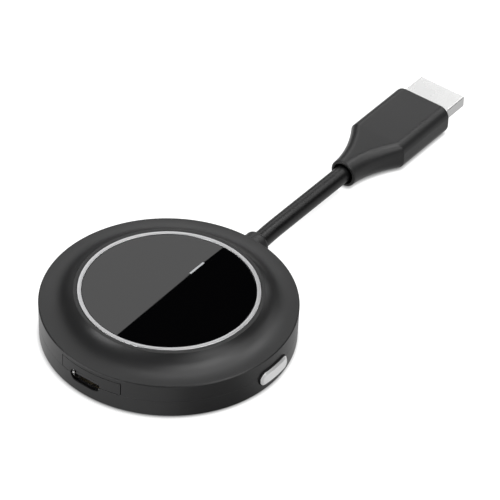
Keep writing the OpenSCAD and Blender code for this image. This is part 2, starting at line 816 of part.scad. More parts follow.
// Ring of the cable round a point of its route, square to the route there
function cord_dir(i) = cord[min(i + 1, len(cord) - 1)] - cord[max(i - 1, 0)];
function cord_ring(i) =
    let (d = (i == 0 || i == len(cord) - 1) ? [0, 1, 0] : cord_dir(i) / norm(cord_dir(i)),
        side = cross(d, [0, 0, 1]) / norm(cross(d, [0, 0, 1])), up = cross(side, d))
    [for (k = [0:cord_sides - 1]) cord[i] + cable_r *
        (side * cos(-360 * k / cord_sides) + up * sin(-360 * k / cord_sides))];

module hdmi_cable() {
    color(jacket_black) swept([for (i = [0:cord_step:len(cord) - 1]) cord_ring(i)]);
}

// Section of the grip: a rectangle with rounded corners, square to Y
function grip_ring(y, half_w, half_h, r) =
    [for (q = [0:3]) for (i = [0:corner_steps])
        let (a = -90 * q - 90 * i / corner_steps, sx = (q == 0 || q == 3) ? 1 : -1,
            sz = (q == 2 || q == 3) ? 1 : -1)
        [plug_x + sx * (half_w - r) + r * cos(a), y, plug_z + sz * (half_h - r) + r * sin(a)]];

// Grip shape at a share of the waist, 0 at the neck and 1 at the shoulder
function waist(s) = neck_r + (plug_w / 2 - neck_r) * pow(s, waist_curve);
function waist_half_h(s) = neck_r + (plug_t / 2 - neck_r) * s;
function waist_corner(s) = neck_r - (neck_r - plug_corner) * s;
function waist_ring(s, inset, y) =
    grip_ring(y, waist(s) - inset, waist_half_h(s) - inset, waist_corner(s) - inset);

module plug_housing() {
    neck = [for (i = [0:round_steps]) let (a = 90 * i / round_steps)
        waist_ring(0, neck_edge * (1 - sin(a)), neck_y + neck_edge * (1 - cos(a)))];
    middle = [for (i = [1:waist_steps]) let (s = i / waist_steps)
        waist_ring(s, 0, neck_y + neck_edge + (waist_len - neck_edge) * s)];
    front = [for (i = [0:round_steps]) let (a = 90 * i / round_steps)
        waist_ring(1, front_edge * (1 - cos(a)), front_y - front_edge * (1 - sin(a)))];
    color(grip_black) difference() {
        swept(concat(neck, middle, front));
        along_y(neck_y - over, cord_end_y, plug_x, plug_z) circle(neck_hole_r, $fn = small_fn);
        along_y(cord_end_y - over, card_back_y, plug_x, plug_z)
            circle(cable_r + crimp_wall + mould_gap, $fn = small_fn);
        bar_y(card_w + 2 * mould_gap, mouth_h, card_back_y, mouth_back_y, plug_x, plug_z);
        along_y(mouth_back_y - mould_gap, front_y + over, plug_x, plug_z) mouth_2d(-mould_gap);
    }
}

// Outline of the plug's mouth: flat top, upright sides and sloping lower corners
module mouth_2d(inset) {
    top = mouth_h / 2 - inset;
    side = mouth_w / 2 - inset;
    foot = mouth_foot_w / 2 - inset / 2;
    bend = mouth_h / 2 - mouth_side;
    polygon([[-side, top], [side, top], [side, bend], [foot, -top], [-foot, -top], [-side, bend]]);
}

module plug_shell() {
    color(bright_metal) difference() {
        along_y(mouth_back_y, tip_y, plug_x, plug_z) mouth_2d(0);
        along_y(mouth_back_y - over, tip_y + over, plug_x, plug_z) mouth_2d(mouth_wall);
    }
}

lining_front_y = tip_y - lining_setback;
lining_back_y = lining_front_y - mouth_out;
lining_gap_h = mouth_h - 2 * mouth_wall - 2 * mould_gap - 2 * lining_t;

// Plastic lining of the mouth, with the slot for the mating tongue
module plug_insulator() {
    color(chip_black) difference() {
        along_y(mouth_back_y, lining_front_y, plug_x, plug_z) mouth_2d(mouth_wall + mould_gap);
        bar_y(mouth_foot_w, lining_gap_h, lining_back_y, tip_y, plug_x, plug_z);
    }
}

module plug_contacts() {
    z = lining_gap_h / 2 - pin_t / 2;
    color(gold) for (row = [0, 1]) for (i = [0:9 - row])
        bar_y(pin_w, pin_t, lining_back_y, lining_front_y - 2 * pin_w,
            plug_x + (i - (9 - row) / 2) * pin_pitch, plug_z + (row == 0 ? z : -z));
}

module plug_board() {
    color(board_green) bar_y(card_w, card_t, card_back_y, mouth_back_y, plug_x, plug_z);
}

// Metal sleeve pressed on the end of the cable's jacket
module plug_crimp() {
    color(bright_metal) difference() {
        along_y(card_back_y - crimp_len, card_back_y - mould_gap, plug_x, plug_z)
            circle(cable_r + crimp_wall, $fn = small_fn);
        along_y(card_back_y - 2 * crimp_len, card_back_y, plug_x, plug_z)
            circle(cable_r + cable_fit, $fn = small_fn);
    }
}

module plug_tail() {
    color(jacket_black) along_y(cord_end_y, card_back_y - mould_gap, plug_x, plug_z)
        circle(cable_r, $fn = small_fn);
}

module cover_screws() {
    drive = head_r / 4;
    color(bright_metal) at_screws() difference() {
        union() {
            translate([0, 0, pad_seat_z]) cylinder(h = head_t, r = head_r, $fn = small_fn);
            translate([0, 0, pad_seat_z + head_t])
                cylinder(h = screw_len - screw_gap, r = screw_r, $fn = small_fn);
        }
        block([drive, head_r, head_t], [0, 0, pad_seat_z - head_t / 2]);
        block([head_r, drive, head_t], [0, 0, pad_seat_z - head_t / 2]);
    }
}

module anti_slip_pad() {
    color("dimgray") cylinder(h = pad_t, r = pad_r);
}

top_cover();
bottom_cover();
port_panel();
trim_ring();
display_disc();
disc_tape();
light_pipe();
status_led();
side_button();
button_switch();
switch_plunger();
main_board();
usb_shell();
usb_tongue();
usb_contacts();
video_processor();
memory_chip();
flash_chip();
wifi_module();
antennas();
antenna_leads();
crystal();
inductors();
capacitors();
thermal_pad();
heat_spreader();
cable_header();
cable_wires();
cable_tail();
cable_clamp();
cable_grommet();
hdmi_cable();
plug_housing();
plug_shell();
plug_insulator();
plug_contacts();
plug_board();
plug_crimp();
plug_tail();
cover_screws();
anti_slip_pad();
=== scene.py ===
"""Round wireless display adapter with a short lead: its looks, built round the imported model."""

import math

import bmesh
import bpy
from mathutils import Matrix, Vector


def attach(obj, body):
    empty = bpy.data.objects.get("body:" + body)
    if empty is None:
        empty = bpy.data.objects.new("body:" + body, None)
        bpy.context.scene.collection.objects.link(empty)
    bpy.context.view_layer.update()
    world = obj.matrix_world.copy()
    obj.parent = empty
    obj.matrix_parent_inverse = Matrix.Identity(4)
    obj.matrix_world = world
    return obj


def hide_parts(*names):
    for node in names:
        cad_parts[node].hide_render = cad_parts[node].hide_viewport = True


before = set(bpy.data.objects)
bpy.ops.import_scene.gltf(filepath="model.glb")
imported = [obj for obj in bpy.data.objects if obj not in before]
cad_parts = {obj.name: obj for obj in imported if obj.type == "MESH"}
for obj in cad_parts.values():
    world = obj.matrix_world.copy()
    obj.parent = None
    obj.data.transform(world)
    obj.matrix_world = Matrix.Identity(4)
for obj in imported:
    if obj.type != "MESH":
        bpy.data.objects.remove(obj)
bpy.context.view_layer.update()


# Anti-slip pad. A disc of soft black rubber, die cut and glued into the recess
# under the puck, where it hides the screws. Sizes of all pieces are in
# millimetres until they are fitted.
MM = 0.001
ARC_STEP = 0.4
FOOT_RADIUS = 29.2
FOOT_THICK = 0.8


def rounded_outline(corners, segments=None):
    """Flat face in the XZ plane from its corners (x, z, radius of the rounding)."""
    bm = bmesh.new()
    verts = [bm.verts.new((x, 0, z)) for x, z, _ in corners]
    bm.faces.new(verts)
    for i, (x, z, radius) in enumerate(corners):
        if not radius:
            continue
        here = Vector((x, z))
        came = here - Vector(corners[i - 1][:2])
        goes = Vector(corners[(i + 1) % len(corners)][:2]) - here
        turn = came.angle(goes)
        bmesh.ops.bevel(bm, geom=[verts[i]], offset=radius * math.tan(turn / 2),
                        offset_type="OFFSET", affect="VERTICES", profile=0.5, material=-1,
                        segments=segments or 4 + math.ceil(turn * radius / ARC_STEP))
    return bm


def turned(corners, steps=256, start=0.0, sweep=360.0):
    """Outline turned about the upright axis, capped where it stops short of a full turn."""
    bm = rounded_outline(corners)
    bmesh.ops.delete(bm, geom=bm.faces[:], context="FACES_ONLY")
    bmesh.ops.rotate(bm, verts=bm.verts[:], cent=(0, 0, 0),
                     matrix=Matrix.Rotation(math.radians(start), 3, "Z"))
    bmesh.ops.spin(bm, geom=bm.verts[:] + bm.edges[:], cent=(0, 0, 0), axis=(0, 0, 1),
                   dvec=(0, 0, 0), angle=math.radians(sweep), steps=steps,
                   use_merge=sweep == 360.0)
    bmesh.ops.remove_doubles(bm, verts=bm.verts[:], dist=0.0002)
    if sweep != 360.0:
        bmesh.ops.holes_fill(bm, edges=[e for e in bm.edges if e.is_boundary])
    bmesh.ops.recalc_face_normals(bm, faces=bm.faces[:])
    return bm


def blank(bm):
    """Rough piece, not yet fitted."""
    mesh = bpy.data.meshes.new("blank")
    bm.to_mesh(mesh)
    bm.free()
    piece = bpy.data.objects.new("blank", mesh)
    bpy.context.collection.objects.link(piece)
    return piece


def fitted(piece, name, finish, slot, *stands_for, body="root", crease=32.0):
    """Brings a rough piece to metres, smooths its round faces and fits it to its body."""
    bm = bmesh.new()
    bm.from_mesh(piece.data)
    bmesh.ops.scale(bm, vec=(MM, MM, MM), verts=bm.verts[:])
    for face in bm.faces:
        face.smooth = True
    for edge in bm.edges:
        edge.smooth = edge.calc_face_angle(0.0) < math.radians(crease)
    bm.to_mesh(piece.data)
    bm.free()
    shading = piece.modifiers.new("flat faces stay flat", "WEIGHTED_NORMAL")
    shading.keep_sharp = True
    shading.weight = 90
    piece.name = piece.data.name = name
    piece.data.materials.clear()
    piece.data.materials.append(finish)
    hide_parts(*stands_for)
    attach(piece, body)
    return piece


def ranged(tree, value, before, after, interpolation="LINEAR"):
    """Output of a node that carries a value over from one range to another."""
    node = tree.nodes.new("ShaderNodeMapRange")
    node.interpolation_type = interpolation
    node.inputs["From Min"].default_value, node.inputs["From Max"].default_value = before
    node.inputs["To Min"].default_value, node.inputs["To Max"].default_value = after
    tree.links.new(value, node.inputs["Value"])
    return node.outputs["Result"]


def surface(name, colour, roughness, metallic=0.0, grain=0.15, depth=0.003, drift=0.04,
            gloss_level=0.5):
    """Finish with a fine grain as bump, and a gloss and colour that drift a little."""
    finish = bpy.data.materials.new(name)
    finish.use_nodes = True
    nodes, links = finish.node_tree.nodes, finish.node_tree.links
    shader = nodes["Principled BSDF"]
    shader.inputs["Metallic"].default_value = metallic
    shader.inputs["Specular IOR Level"].default_value = gloss_level
    place = nodes.new("ShaderNodeTexCoord")
    fine = nodes.new("ShaderNodeTexNoise")
    fine.inputs["Scale"].default_value = 1000 / grain
    fine.inputs["Detail"].default_value = 3.0
    links.new(place.outputs["Object"], fine.inputs["Vector"])
    bump = nodes.new("ShaderNodeBump")
    bump.inputs["Strength"].default_value = 0.5
    bump.inputs["Distance"].default_value = depth * MM
    links.new(fine.outputs["Fac"], bump.inputs["Height"])
    links.new(bump.outputs["Normal"], shader.inputs["Normal"])
    broad = nodes.new("ShaderNodeTexNoise")
    broad.inputs["Scale"].default_value = 90.0
    broad.inputs["Detail"].default_value = 4.0
    links.new(place.outputs["Object"], broad.inputs["Vector"])
    gloss = ranged(finish.node_tree, broad.outputs["Fac"], (0.25, 0.75),
                   (max(roughness - drift, 0.01), roughness + drift))
    links.new(gloss, shader.inputs["Roughness"])
    tint = nodes.new("ShaderNodeMix")
    tint.data_type = "RGBA"
    tint.inputs["A"].default_value = (*[c * 0.96 for c in colour], 1.0)
    tint.inputs["B"].default_value = (*[min(c * 1.04, 1.0) for c in colour], 1.0)
    links.new(broad.outputs["Fac"], tint.inputs["Factor"])
    links.new(tint.outputs["Result"], shader.inputs["Base Color"])
    return finish


foot_rubber = surface("foot rubber", (0.03, 0.03, 0.03), 0.75, grain=0.3, depth=0.02)
fitted(blank(turned([(0, 0, 0), (FOOT_RADIUS, 0, 0.15), (FOOT_RADIUS, FOOT_THICK, 0.1),
                     (0, FOOT_THICK, 0)], steps=128)),
       "rubber_pad", foot_rubber, "foot", "anti_slip_pad")


# Bottom cover. An injection moulded tray of satin black plastic: its side wall
# meets the top cover at a tight seam half way up, and carries the lower halves
# of the openings for the socket, the button and the lead.
WALL_RADIUS = 32.0
RIM_HEIGHT = 10.0
FOOT_INSET = 0.2
UNDERSIDE = 0.3
PAD_RECESS = 29.4
TRAY_FLOOR = 2.2
SEAM_HEIGHT = 5.1
HALF_SEAM = 0.01
SEAM_EDGE = 0.035
STEP_RADIUS = 31.15
STEP_HEIGHT = 3.85
INNER_RADIUS = 30.4
KNIFE_START = INNER_RADIUS - 3
OVERRUN = 1.0
GROOVE_START = INNER_RADIUS + 0.2
GROOVE_STEP = 0.05
SLOT_LIP = 0.4
PORT_ACROSS = -0.75
PORT_LENGTH = 9.14
PORT_HEIGHT = 3.36
BUTTON_ALONG = 0.55
BUTTON_HEIGHT = 4.6
BUTTON_SLOT = (11.1, 4.4)
LEAD_HEIGHT = 5.25
LEAD_HOLE = 3.55
LEAD_HOLE_START = 27
LEAD_HOLE_END = 36
ROUND_END = 0.98


def wall_radius(height):
    """Radius of the side wall, which draws in a little towards the table."""
    return WALL_RADIUS - FOOT_INSET * (1 - height / RIM_HEIGHT)


def stadium(length, height, across, up, inset=0.0):
    """Corners of an outline with half-round ends."""
    x, z = length / 2 - inset, height / 2 - inset
    return [(across + sx * x, up + sz * z, z * ROUND_END)
            for sx, sz in ((-1, -1), (1, -1), (1, 1), (-1, 1))]


def lofted(stations, segments=10):
    """Skin through outlines (distance along Y, corners), closed at both ends."""
    bm = bmesh.new()
    scratch = bpy.data.meshes.new("scratch")
    loops, middles = [], []
    for k, (along, corners) in enumerate(stations):
        flat = rounded_outline(corners, segments)
        bmesh.ops.translate(flat, vec=(0, along, 0), verts=flat.verts[:])
        flat.to_mesh(scratch)
        flat.free()
        edges, faces = set(bm.edges), set(bm.faces)
        bm.from_mesh(scratch)
        loops.append([e for e in bm.edges if e not in edges])
        if 0 < k < len(stations) - 1:
            middles += [f for f in bm.faces if f not in faces]
    bmesh.ops.delete(bm, geom=middles, context="FACES_ONLY")
    for near, far in zip(loops, loops[1:]):
        bmesh.ops.bridge_loops(bm, edges=near + far)
    bmesh.ops.recalc_face_normals(bm, faces=bm.faces[:])
    bpy.data.meshes.remove(scratch)
    return bm


def wrapped(bm, turn, step=0.8):
    """Bends a piece round the wall: X runs along the wall and Y is the distance to the axis."""
    reach = max(abs(v.co.x) for v in bm.verts)
    for k in range(-int(reach / step), int(reach / step) + 1):
        bmesh.ops.bisect_plane(bm, geom=bm.verts[:] + bm.edges[:] + bm.faces[:],
                               plane_co=(k * step, 0, 0), plane_no=(1, 0, 0), dist=0.0001)
    for vert in bm.verts:
        angle = vert.co.x / WALL_RADIUS
        vert.co = (vert.co.y * math.sin(angle), -vert.co.y * math.cos(angle), vert.co.z)
    bmesh.ops.reverse_faces(bm, faces=bm.faces[:])
    bmesh.ops.rotate(bm, verts=bm.verts[:], cent=(0, 0, 0),
                     matrix=Matrix.Rotation(math.radians(turn), 3, "Z"))
    return bm


def slot_knife(size, across, up, turn, chamfer, relief):
    """Cutter for a round-ended slot with a fine chamfer outside and a groove inside the wall."""
    skin = wall_radius(up)
    slot = stadium(*size, across, up)
    groove = stadium(*size, across, up, -relief)
    flared = stadium(*size, across, up, -OVERRUN - chamfer)
    stations = [
        (KNIFE_START, slot), (GROOVE_START, slot),
        (GROOVE_START + GROOVE_STEP, groove), (skin - SLOT_LIP - GROOVE_STEP, groove),
        (skin - SLOT_LIP, slot), (skin - chamfer, slot), (skin + OVERRUN, flared)]
    return blank(wrapped(lofted(stations), turn))


def port_knife():
    """Cutter for the socket's slot, which the covers and the wall panel share."""
    return slot_knife((PORT_LENGTH, PORT_HEIGHT), PORT_ACROSS, SEAM_HEIGHT, turn=0,
                      chamfer=0.03, relief=0.45)


def laid_along_lead(bm):
    """Lays a turned piece down, so that its axis runs along the lead."""
    bmesh.ops.rotate(bm, verts=bm.verts[:], cent=(0, 0, 0),
                     matrix=Matrix.Rotation(math.radians(-90), 3, "X"))
    bmesh.ops.translate(bm, vec=(0, 0, LEAD_HEIGHT), verts=bm.verts[:])
    return bm


def wall_knives():
    """Cutters for the socket, the button and the lead, which both covers share."""
    lead_hole = turned([(0, LEAD_HOLE_START, 0), (LEAD_HOLE, LEAD_HOLE_START, 0),
                        (LEAD_HOLE, LEAD_HOLE_END, 0), (0, LEAD_HOLE_END, 0)], steps=64)
    return (port_knife(),
            slot_knife(BUTTON_SLOT, BUTTON_ALONG, BUTTON_HEIGHT, turn=90, chamfer=0.04,
                       relief=0.1),
            blank(laid_along_lead(lead_hole)))


def cut(piece, *knives):
    """Cuts the knives' solids out of a rough piece and puts the knives away."""
    for knife in knives:
        boolean = piece.modifiers.new("cut", "BOOLEAN")
        boolean.operation = "DIFFERENCE"
        boolean.solver = "EXACT"
        boolean.object = knife
    depsgraph = bpy.context.evaluated_depsgraph_get()
    mesh = bpy.data.meshes.new_from_object(piece.evaluated_get(depsgraph))
    piece.modifiers.clear()
    piece.data = mesh
    for knife in knives:
        bpy.data.objects.remove(knife)
    return piece


cover_plastic = surface("satin black plastic", (0.0135, 0.0135, 0.0138), 0.36, grain=0.12,
                        depth=0.0025, gloss_level=0.357)
tray = blank(turned([
    (0, FOOT_THICK, 0), (PAD_RECESS, FOOT_THICK, 0), (PAD_RECESS, UNDERSIDE, 0.1),
    (wall_radius(UNDERSIDE), UNDERSIDE, 0.5),
    (wall_radius(SEAM_HEIGHT), SEAM_HEIGHT - HALF_SEAM, SEAM_EDGE),
    (STEP_RADIUS, SEAM_HEIGHT - HALF_SEAM, 0), (STEP_RADIUS, STEP_HEIGHT, 0),
    (INNER_RADIUS, STEP_HEIGHT, 0), (INNER_RADIUS, TRAY_FLOOR, 0), (0, TRAY_FLOOR, 0)]))
fitted(cut(tray, *wall_knives()), "bottom_shell", cover_plastic, "cover", "bottom_cover")


# Board and its electronics. A round board of green glass epoxy rests on the
# tray's rib, with the black chips, the tinned cans and the small parts soldered
# to its top. None of it shows once the covers are closed.
board_mask = surface("green solder mask", (0.01, 0.07, 0.03), 0.3, grain=0.5, depth=0.01)
chip_resin = surface("black moulding resin", (0.018, 0.018, 0.019), 0.5, grain=0.08)
tinned_steel = surface("tinned steel", (0.62, 0.62, 0.61), 0.32, 1.0, grain=0.2, depth=0.002)
gold_flash = surface("gold flash", (0.68, 0.56, 0.36), 0.35, 1.0, grain=0.1, depth=0.001)
ferrite = surface("grey ferrite", (0.08, 0.08, 0.08), 0.65, grain=0.1, depth=0.01)
tan_ceramic = surface("tan ceramic", (0.4, 0.29, 0.17), 0.45, grain=0.1)
white_film = surface("white film", (0.75, 0.75, 0.72), 0.5, grain=0.4)
wire_jacket = surface("red wire jacket", (0.35, 0.03, 0.02), 0.4, grain=0.2)
soft_pad = surface("soft thermal pad", (0.35, 0.42, 0.52), 0.8, grain=0.2, depth=0.02)
stamped_sheet = surface("stamped aluminium", (0.66, 0.66, 0.67), 0.35, 1.0, grain=0.2)


def finish_nodes(finish, *names):
    """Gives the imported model's own pieces a finish."""
    for name in names:
        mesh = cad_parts[name].data
        mesh.materials.clear()
        mesh.materials.append(finish)


finish_nodes(board_mask, "main_board", "plug_board")
finish_nodes(chip_resin, "video_processor", "memory_chip", "flash_chip", "button_switch",
             "cable_clamp", "usb_tongue", "plug_insulator")
finish_nodes(tinned_steel, "wifi_module", "crystal", "switch_plunger", "cover_screws",
             "plug_crimp")
finish_nodes(gold_flash, "antennas", "usb_contacts", "plug_contacts")
finish_nodes(ferrite, "inductors")
finish_nodes(tan_ceramic, "capacitors")
finish_nodes(white_film, "cable_header", "disc_tape")
finish_nodes(wire_jacket, "cable_wires")
finish_nodes(soft_pad, "thermal_pad")
finish_nodes(stamped_sheet, "heat_spreader")


# Charging socket. The steel shell of a USB-C receptacle, drawn from one sheet,
# stands a little inside the wall; its black tongue carries the gold contacts.
SOCKET_LENGTH = 8.94
SOCKET_HEIGHT = 3.16
SOCKET_FRONT = -30.9
SOCKET_END = -23.95
SOCKET_SHEET = 0.3
SOCKET_EDGE = 0.05
FLARE = 0.26
FLARE_DEPTH = 0.4
socket_steel = surface("bright nickel of the socket", (0.8, 0.8, 0.8), 0.2, 1.0, grain=0.3,
                       depth=0.001)


def socket_outline(inset, flare=0.0):
    """Outline of the socket's shell, set inwards, and longer at both ends by a flare."""
    return stadium(SOCKET_LENGTH + 2 * flare, SOCKET_HEIGHT, PORT_ACROSS, SEAM_HEIGHT, inset)


socket = blank(lofted([
    (SOCKET_END, socket_outline(0)), (SOCKET_FRONT + SOCKET_EDGE, socket_outline(0)),
    (SOCKET_FRONT, socket_outline(SOCKET_EDGE)), (SOCKET_FRONT, socket_outline(0.27, FLARE)),
    (SOCKET_FRONT + FLARE_DEPTH, socket_outline(SOCKET_SHEET)),
    (SOCKET_END - SOCKET_SHEET, socket_outline(SOCKET_SHEET))]))
fitted(socket, "socket_shell", socket_steel, "steel", "usb_shell")


# Side button. A chamfered cap of blasted aluminium on a black plastic slider, which
# runs in a slot of the wall. A flange behind the wall keeps it from falling out.
CAP_LENGTH = 10.6
CAP_HEIGHT = 3.9
CAP_FACE = wall_radius(BUTTON_HEIGHT) + 0.94
CAP_EDGE = 0.46
CAP_FLAT = 0.63
SLIDER_END = 29.6
FLANGE_PLACE = 29.19
FLANGE_THICK = 0.8
FLANGE_LIP = 0.35
button_metal = surface("blasted aluminium", (0.85, 0.85, 0.85), 0.42, 1.0, grain=0.1,
                       depth=0.004)
levels = [(SLIDER_END, 0.0), (CAP_FACE - CAP_EDGE, 0.0), (CAP_FACE - 0.05, CAP_FLAT - 0.07),
          (CAP_FACE - 0.01, CAP_FLAT), (CAP_FACE, CAP_FLAT + 0.05)]
cap_stations = [(level, stadium(CAP_LENGTH, CAP_HEIGHT, BUTTON_ALONG, BUTTON_HEIGHT, inset))
                for level, inset in levels]
cap = wrapped(lofted(cap_stations, segments=14), turn=90)
flange = bmesh.ops.create_cube(cap, size=1.0)["verts"]
bmesh.ops.scale(cap, verts=flange, vec=(FLANGE_THICK, CAP_LENGTH + 2 * FLANGE_LIP,
                                        CAP_HEIGHT + 2 * FLANGE_LIP))
bmesh.ops.translate(cap, vec=(FLANGE_PLACE, BUTTON_ALONG, BUTTON_HEIGHT), verts=flange)
button = fitted(blank(cap), "button_cap", button_metal, "button", "side_button", body="button")
button.data.materials.append(cover_plastic)
for face in button.data.polygons:
    on_slider = face.center.xy.length < (CAP_FACE - CAP_EDGE) * MM
    face.material_index = 1 if on_slider else 0


# Top cover. One moulding of the same satin plastic: a side wall, a hollow sweep
# that curls up steeply to a flat lip, and the recess for ring and disc. A separate
# panel closes the wall above the socket.
RECESS_RADIUS = 22.58
RECESS_HEIGHT = 11.65
LIP_RADIUS = 23.5
LIP_HEIGHT = 13.27
RIM_BEVEL = 0.24
RIM_EDGE = 0.06
DISH_RADIUS = WALL_RADIUS - 0.3
DISH_STEPS = 48
CEILING = 10.25
SHOULDER_RADIUS = 27.6
SHOULDER_HEIGHT = 8.6
SKIRT_RADIUS = 31.08
SKIRT_FOOT = 3.95
PANEL_WIDTH = 18.1
PANEL_ACROSS = 0.6
PANEL_TOP = 8.85
PANEL_SEAT = 30.95
PANEL_BACK = 31.07
PANEL_FACE = wall_radius(7)
PANEL_FOOT = SEAM_HEIGHT + 0.15
PANEL_GAP = 0.2
PANEL_EDGE = 0.03


def panel_block(inner, outer, bottom, gap=0.0, edge=0.0):
    """Block in the curve of the wall, the panel's size less a gap at the top and the ends."""
    degrees_per_mm = math.degrees(1 / WALL_RADIUS)
    width = PANEL_WIDTH - 2 * gap
    top = PANEL_TOP - gap
    outline = [(inner, bottom, 0), (outer, bottom, edge), (outer, top, edge), (inner, top, 0)]
    return turned(outline, steps=40, start=-90 + (PANEL_ACROSS - width / 2) * degrees_per_mm,
                  sweep=width * degrees_per_mm)


def dish(share):
    """Point of the hollow sweep, from 0 at the rim to 1 at the lip."""
    rise = 0.5 * share ** 2 + 0.5 * share ** 5
    return (DISH_RADIUS - (DISH_RADIUS - LIP_RADIUS) * share,
            RIM_HEIGHT + (LIP_HEIGHT - RIM_HEIGHT) * rise, 0)


lid = blank(turned([
    (0, RECESS_HEIGHT, 0), (0, CEILING, 0), (RECESS_RADIUS, CEILING, 0),
    (SHOULDER_RADIUS, SHOULDER_HEIGHT, 0), (INNER_RADIUS, SHOULDER_HEIGHT, 0),
    (INNER_RADIUS, SKIRT_FOOT, 0), (SKIRT_RADIUS, SKIRT_FOOT, 0),
    (SKIRT_RADIUS, SEAM_HEIGHT + HALF_SEAM, 0),
    (wall_radius(SEAM_HEIGHT), SEAM_HEIGHT + HALF_SEAM, SEAM_EDGE),
    (WALL_RADIUS, RIM_HEIGHT - RIM_BEVEL, RIM_EDGE),
    (WALL_RADIUS - RIM_BEVEL, RIM_HEIGHT, RIM_EDGE),
    *[dish(k / DISH_STEPS) for k in range(1, DISH_STEPS)],
    (LIP_RADIUS, LIP_HEIGHT, 0.1), (RECESS_RADIUS, LIP_HEIGHT, 0.06),
    (RECESS_RADIUS, RECESS_HEIGHT, 0)]))
panel_knife = panel_block(PANEL_SEAT, WALL_RADIUS + 2 * OVERRUN, SKIRT_FOOT - 0.05)
cut(lid, *wall_knives(), blank(panel_knife))
fitted(lid, "top_shell", cover_plastic, "cover", "top_cover")

insert = blank(panel_block(PANEL_BACK, PANEL_FACE, PANEL_FOOT, PANEL_GAP, PANEL_EDGE))
cut(insert, port_knife())
fitted(insert, "wall_panel", cover_plastic, "cover", "port_panel")


# Trim ring. Turned from aluminium and pressed into the recess. Its top is satin,
# with finely rounded edges, and a hair higher than the cover's lip round it.
RING_RADIUS = 22.5
RING_WIDTH = 1.04
RING_TOP = 13.35
RING_EDGE = 0.07
ring_metal = surface("satin ring aluminium", (0.535, 0.535, 0.54), 0.31, 1.0, grain=0.15,
                     depth=0.0004)
ring = turned([(RING_RADIUS - RING_WIDTH, RECESS_HEIGHT, 0), (RING_RADIUS, RECESS_HEIGHT, 0),
               (RING_RADIUS, RING_TOP, RING_EDGE),
               (RING_RADIUS - RING_WIDTH, RING_TOP, RING_EDGE)])
fitted(blank(ring), "bright_ring", ring_metal, "ring", "trim_ring")


# Disc. Black acrylic polished to a mirror, taped into the ring, with a narrow
# slot that the frosted light guide fills flush with the top.
DISC_RADIUS = 21.4
DISC_TOP = 13.25
DISC_FOOT = RECESS_HEIGHT + 0.2
DISC_EDGE = 0.12
LIGHT_ACROSS = 0.05
LIGHT_ALONG = 10.9
LIGHT_LENGTH = 5.4
LIGHT_WIDTH = 0.55
LIGHT_GAP = 0.03
acrylic = surface("polished black acrylic", (0.0012, 0.0012, 0.0014), 0.003, grain=4.0,
                  depth=0.0, drift=0.0)
acrylic.node_tree.nodes["Principled BSDF"].inputs["IOR"].default_value = 1.49
disc = blank(turned([(0, DISC_FOOT, 0), (DISC_RADIUS, DISC_FOOT, 0),
                     (DISC_RADIUS, DISC_TOP, DISC_EDGE), (0, DISC_TOP, 0)]))
light_knife = bmesh.new()
bmesh.ops.create_cube(light_knife, size=1.0)
bmesh.ops.scale(light_knife, vec=(LIGHT_WIDTH + LIGHT_GAP, LIGHT_LENGTH + LIGHT_GAP, 6),
                verts=light_knife.verts[:])
bmesh.ops.translate(light_knife, vec=(LIGHT_ACROSS, LIGHT_ALONG, DISC_TOP),
                    verts=light_knife.verts[:])
fitted(cut(disc, blank(light_knife)), "acrylic_disc", acrylic, "disc", "display_disc")

frosted_guide = surface("frosted light guide", (0.42, 0.43, 0.44), 0.5, grain=0.1)
finish_nodes(frosted_guide, "light_pipe", "status_led")


# Boss. A stub of black rubber moulded on the cable, trapped by its flange
# between the covers, with a soft end where the cable leaves it.
CABLE_RADIUS = 2.35
BOSS_RADIUS = 3.5
BOSS_BORE = CABLE_RADIUS + 0.02
BOSS_START = 29.83
BOSS_END = 36.3
BOSS_FLANGE = (10, 1.4, 5.6)
BOSS_FLANGE_PLACE = 29.13
boss_rubber = surface("satin black rubber", (0.0148, 0.0148, 0.0152), 0.42, grain=0.12,
                      depth=0.004, gloss_level=0.376)
boss = laid_along_lead(turned([(BOSS_BORE, BOSS_START, 0), (BOSS_RADIUS, BOSS_START, 0),
                               (BOSS_RADIUS, BOSS_END, 0.9), (BOSS_BORE, BOSS_END, 0.1)],
                              steps=96))
flange = bmesh.ops.create_cube(boss, size=1.0)["verts"]
bmesh.ops.scale(boss, vec=BOSS_FLANGE, verts=flange)
bmesh.ops.translate(boss, vec=(0, BOSS_FLANGE_PLACE, LEAD_HEIGHT), verts=flange)
fitted(blank(boss), "lead_boss", boss_rubber, "grommet", "cable_grommet")


# Lead. A short round cable in a satin black jacket, stiff enough to run almost
# straight. It sags a little on its way from the boss to the plug on the table.
cord_route = [
    (0, 36.3, 5.25), (-0.1, 39, 5.25), (-0.21, 42, 5.22), (-0.29, 45, 5.13), (-0.36, 48, 5.02),
    (-0.44, 51, 4.89), (-0.52, 54, 4.75), (-0.6, 57, 4.61), (-0.68, 60, 4.48),
    (-0.75, 63, 4.36), (-0.8, 66, 4.26), (-0.85, 69, 4.18), (-0.88, 72, 4.12),
    (-0.9, 75, 4.08), (-0.9, 77.2, 4.05)]
jacket = surface("black cable jacket", (0.0031, 0.0031, 0.0032), 0.34, grain=0.2, depth=0.004,
                 gloss_level=0.35)
line = bpy.data.curves.new("lead", "CURVE")
line.dimensions = "3D"
line.bevel_depth = CABLE_RADIUS * MM
line.bevel_resolution = 10
line.resolution_u = 6
line.use_fill_caps = True
spline = line.splines.new("BEZIER")
spline.bezier_points.add(len(cord_route) - 1)
for point, place in zip(spline.bezier_points, cord_route):
    point.co = Vector(place) * MM
    point.handle_left_type = point.handle_right_type = "AUTO"
lead = bpy.data.objects.new("lead", line)
bpy.context.collection.objects.link(lead)
line.materials.append(jacket)
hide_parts("hdmi_cable")
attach(lead, "root")
finish_nodes(jacket, "cable_tail", "plug_tail", "antenna_leads")


